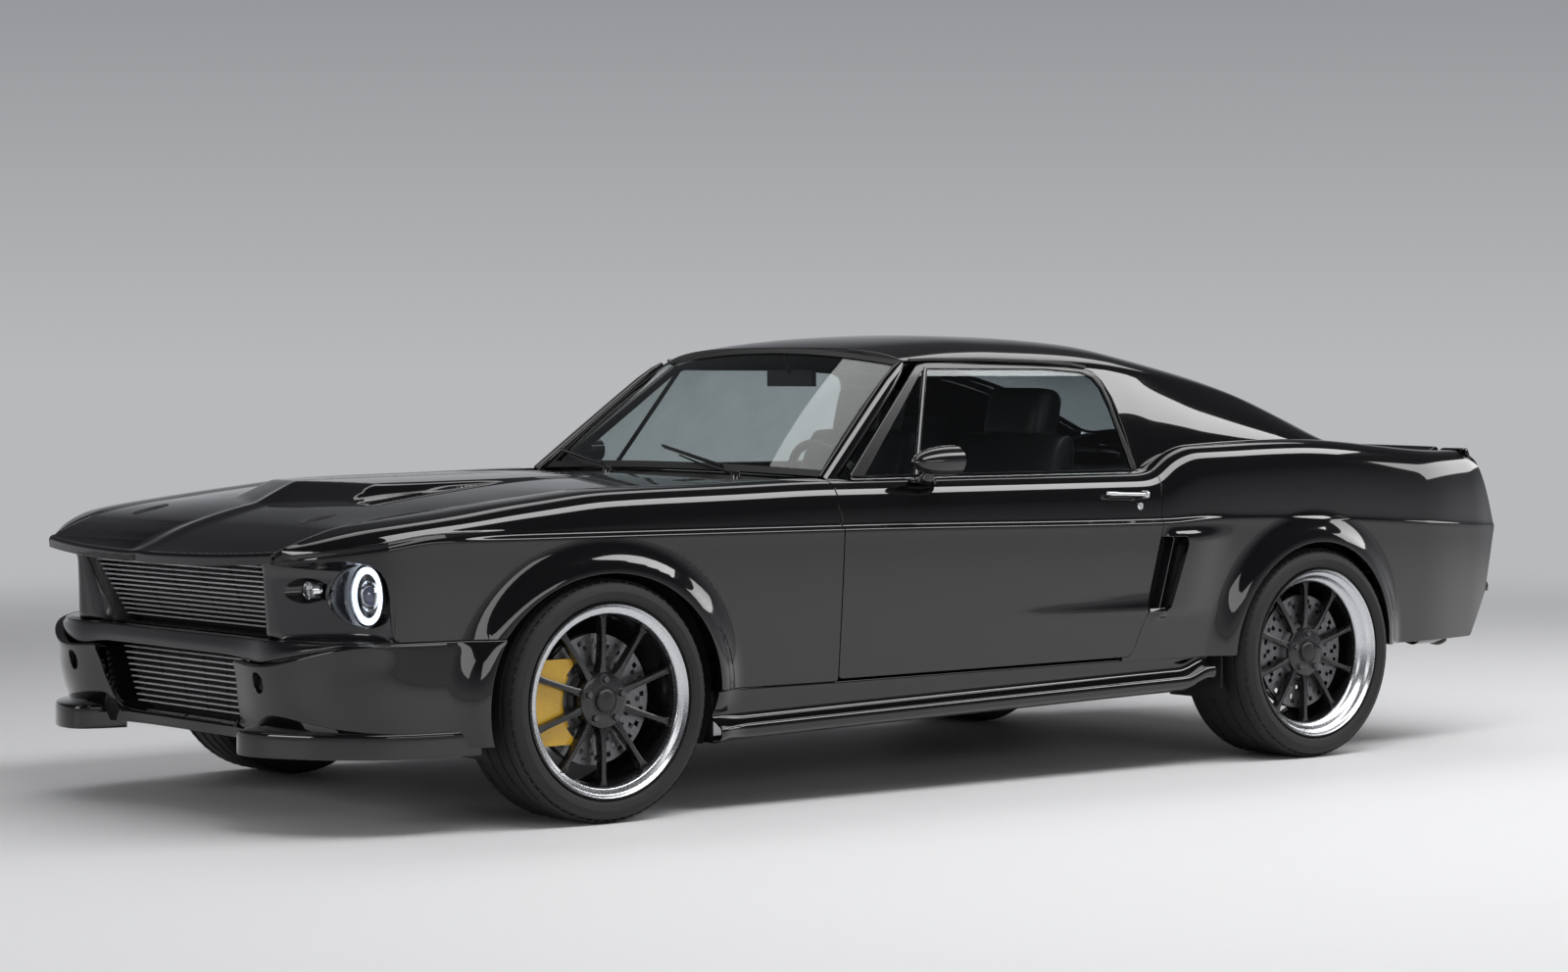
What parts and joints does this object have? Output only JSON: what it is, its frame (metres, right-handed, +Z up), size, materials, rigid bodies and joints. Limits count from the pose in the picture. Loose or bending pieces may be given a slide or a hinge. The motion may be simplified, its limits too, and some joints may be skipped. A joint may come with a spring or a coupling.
{
  "type": "two-door fastback coupe",
  "caption": "Gloss black two-door fastback coupe with flared arches, a scooped bonnet, slatted grilles, opening doors and lids, steered front wheels and a full cabin.",
  "frame": {"origin": "on the ground, at the middle of the length and width", "axes": "+X to the front of the car, +Y to its left, +Z up"},
  "size_m": [4.684, 1.8768, 1.3272],
  "materials": {
    "body_paint": "deep gloss black",
    "glass": "lightly tinted",
    "bright_bars": "bright satin",
    "lamp_glass": "clear",
    "red_lamp": "gloss red lens",
    "chassis_black": "satin",
    "tyre": "matt",
    "rim_black": "gloss black with a machined lip",
    "dash": "matt",
    "seat_leather": "satin leather"
  },
  "bodies": {
    "body": {"fender_left": "body_paint", "fender_right": "body_paint", "quarter_panel_left": "body_paint", "quarter_panel_right": "body_paint", "side_skirt_left": "body_paint", "side_skirt_right": "body_paint", "roof_panel": "body_paint", "cowl": "body_paint", "nose_panel": "body_paint", "front_valance": "body_paint", "front_bumper": "body_paint", "deck_panel": "body_paint", "tail_panel": "body_paint", "rear_bumper": "body_paint", "windscreen": "glass", "rear_glass": "glass", "grilles": "bright_bars", "front_lamps": "lamp_glass", "tail_lamps": "red_lamp", "floor_pan": "chassis_black", "front_suspension": "chassis_black", "rear_axle": "chassis_black", "power_unit": "chassis_black", "dashboard": "dash", "steering_wheel": "dash", "front_seats": "seat_leather", "rear_seat": "seat_leather"},
    "door_left": {"door_left": "body_paint", "door_glass_left": "glass", "mirror_left": "body_paint"},
    "door_right": {"door_right": "body_paint", "door_glass_right": "glass", "mirror_right": "body_paint"},
    "bonnet": {"bonnet": "body_paint"},
    "boot_lid": {"boot_lid": "body_paint"},
    "knuckle_left": {"knuckle_left": "chassis_black"},
    "knuckle_right": {"knuckle_right": "chassis_black"},
    "wheel_front_left": {"tyre_front_left": "tyre", "rim_front_left": "rim_black"},
    "wheel_front_right": {"tyre_front_right": "tyre", "rim_front_right": "rim_black"},
    "wheel_rear_left": {"tyre_rear_left": "tyre", "rim_rear_left": "rim_black"},
    "wheel_rear_right": {"tyre_rear_right": "tyre", "rim_rear_right": "rim_black"}
  },
  "joints": [
    {"name": "door_left_hinge", "type": "hinge", "parent": "body", "child": "door_left", "pos_m": [0.542, 0.888, 0.6], "axis": [0, 0, -1], "range_deg": [0, 65]},
    {"name": "door_right_hinge", "type": "hinge", "parent": "body", "child": "door_right", "pos_m": [0.542, -0.888, 0.6], "axis": [0, 0, 1], "range_deg": [0, 65]},
    {"name": "bonnet_hinge", "type": "hinge", "parent": "body", "child": "bonnet", "pos_m": [0.94, 0, 0.921], "axis": [0, -1, 0], "range_deg": [0, 55]},
    {"name": "boot_lid_hinge", "type": "hinge", "parent": "body", "child": "boot_lid", "pos_m": [-1.775, 0, 0.979], "axis": [0, 1, 0], "range_deg": [0, 60]},
    {"name": "steer_left", "type": "hinge", "parent": "body", "child": "knuckle_left", "pos_m": [1.405, 0.76, 0.33], "axis": [0, 0, 1], "range_deg": [-30, 30]},
    {"name": "steer_right", "type": "hinge", "parent": "body", "child": "knuckle_right", "pos_m": [1.405, -0.76, 0.33], "axis": [0, 0, 1], "range_deg": [-30, 30]},
    {"name": "wheel_front_left_spin", "type": "hinge", "parent": "knuckle_left", "child": "wheel_front_left", "pos_m": [1.405, 0.79, 0.33], "axis": [0, 1, 0], "continuous": true},
    {"name": "wheel_front_right_spin", "type": "hinge", "parent": "knuckle_right", "child": "wheel_front_right", "pos_m": [1.405, -0.79, 0.33], "axis": [0, 1, 0], "continuous": true},
    {"name": "wheel_rear_left_spin", "type": "hinge", "parent": "body", "child": "wheel_rear_left", "pos_m": [-1.338, 0.79, 0.33], "axis": [0, 1, 0], "continuous": true},
    {"name": "wheel_rear_right_spin", "type": "hinge", "parent": "body", "child": "wheel_rear_right", "pos_m": [-1.338, -0.79, 0.33], "axis": [0, 1, 0], "continuous": true}
  ],
  "couplings": [
    {"joint": "steer_right", "follows": "steer_left", "ratio": 1}
  ]
}
